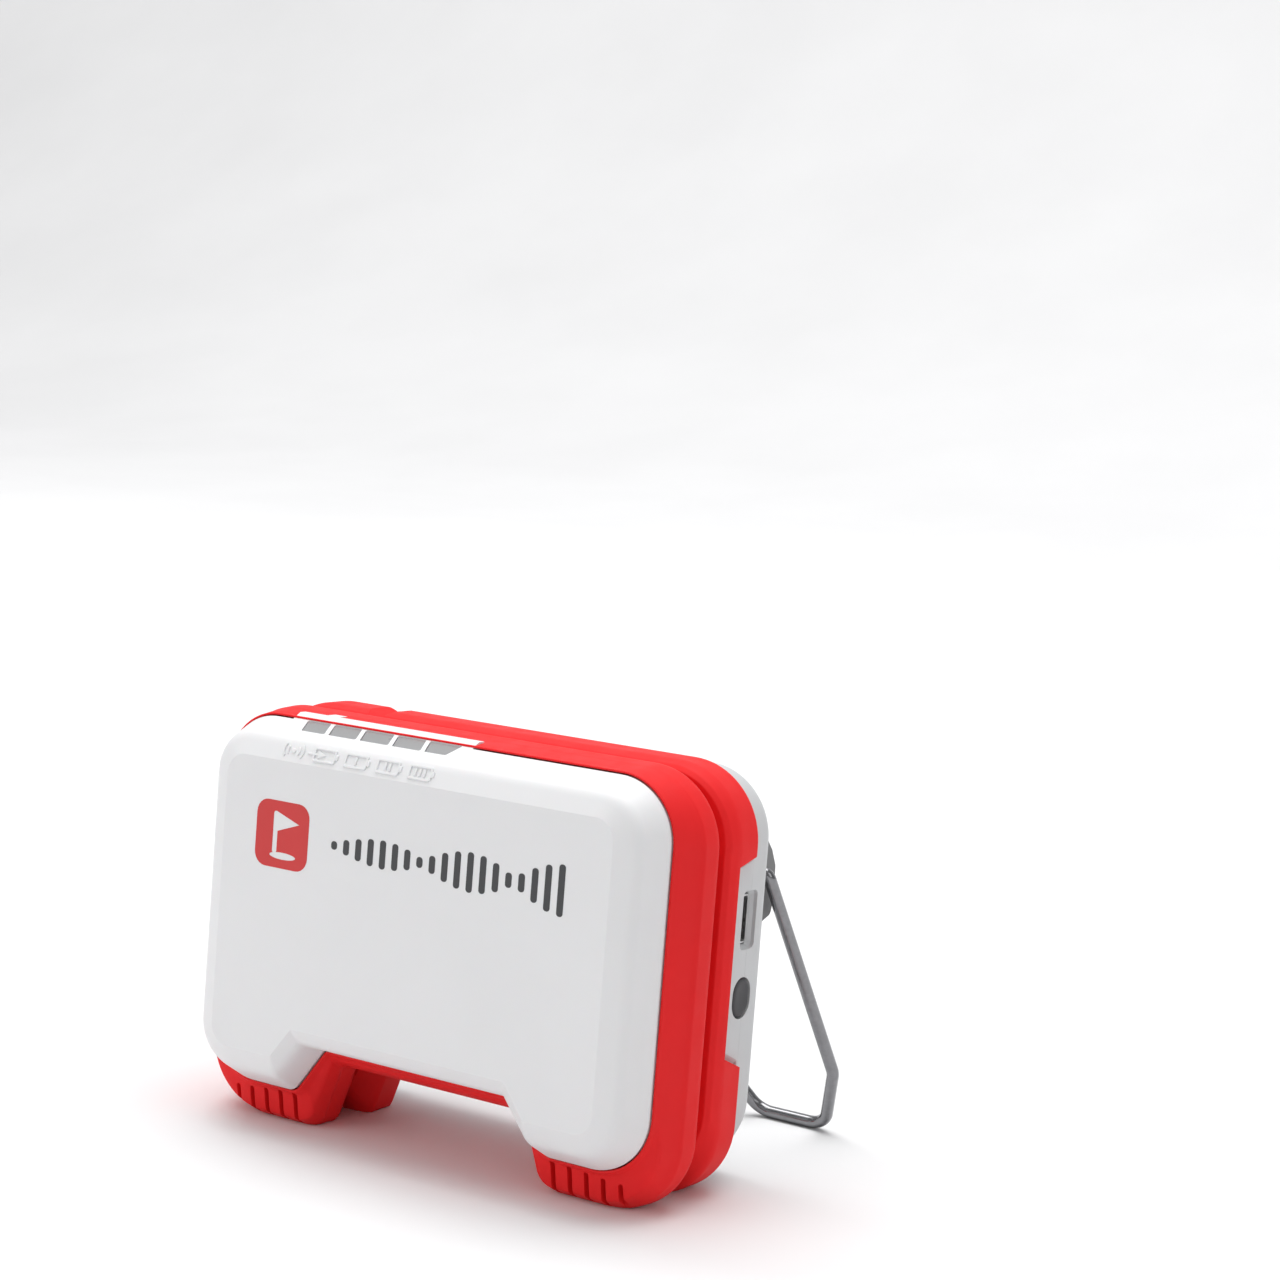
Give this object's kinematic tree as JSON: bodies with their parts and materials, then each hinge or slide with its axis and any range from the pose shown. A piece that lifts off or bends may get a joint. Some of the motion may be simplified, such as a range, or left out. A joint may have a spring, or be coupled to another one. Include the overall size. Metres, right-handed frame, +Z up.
{
  "type": "golf launch monitor",
  "caption": "Pocket radar golf launch monitor with a white front cover, red rubber bumper bands forming two feet, and a folding bent-wire stand behind.",
  "frame": {"origin": "centre of the part's box on the ground plane, with the case leaning back in use on its feet and open stand", "axes": "+X is the case's width, to the right for someone facing its front; +Y runs from the front face back to the stand; +Z is up"},
  "size_m": [0.0922, 0.062, 0.066],
  "materials": {
    "white_shell": "fine satin moulding",
    "red_rubber": "soft satin",
    "red_frame": "satin",
    "pale_shell": "fine satin moulding",
    "grey_trim": "satin",
    "brass": "turned",
    "stand_steel": "polished wire",
    "dark_button": "satin",
    "tin_plate": "bright",
    "dark_plastic": "satin",
    "circuit_board": "solder mask",
    "gold_plate": "gold flash",
    "screw_steel": "plated",
    "led_lens": "clear",
    "light_window": "smoked translucent",
    "cell_foil": "foil pouch",
    "foam": "foam"
  },
  "bodies": {
    "case": {"front_cover": "white_shell", "window_link": "light_window", "window_charge": "light_window", "window_low": "light_window", "window_half": "light_window", "window_full": "light_window", "front_band": "red_rubber", "rear_band": "red_rubber", "chassis": "red_frame", "rear_cover": "pale_shell", "rating_plate": "grey_trim", "hinge_block_left": "grey_trim", "hinge_block_right": "grey_trim", "hinge_bushing_left": "brass", "hinge_bushing_right": "brass", "switch_body": "tin_plate", "side_board": "circuit_board", "usb_shell": "tin_plate", "usb_tongue": "dark_plastic", "radar_board": "circuit_board", "antenna_patches": "gold_plate", "main_board": "circuit_board", "board_posts": "brass", "board_screws": "screw_steel", "shield_can": "tin_plate", "radio_module": "dark_plastic", "led_board": "circuit_board", "leds": "led_lens", "light_guide_rib": "dark_plastic", "battery_tray": "pale_shell", "battery_cell": "cell_foil", "battery_pad": "foam", "cover_screws": "screw_steel"},
    "stand": {"stand_wire": "stand_steel"},
    "button": {"power_button": "dark_button"},
    "plunger": {"switch_plunger": "dark_plastic"}
  },
  "joints": [
    {"name": "stand_hinge", "type": "hinge", "parent": "case", "child": "stand", "pos_m": [0, 0.00811, 0.04673], "axis": [-1, 0, 0], "range_deg": [0, 29]},
    {"name": "button_press", "type": "slide", "parent": "case", "child": "button", "axis": [-1, 0, 0], "range_m": [0, 0.0004], "stiffness_N_per_m": 1000, "springref_m": -0.001},
    {"name": "plunger_press", "type": "slide", "parent": "case", "child": "plunger", "axis": [-1, 0, 0], "range_m": [0, 0.0004]}
  ],
  "couplings": [
    {"joint": "plunger_press", "follows": "button_press", "ratio": 1}
  ]
}
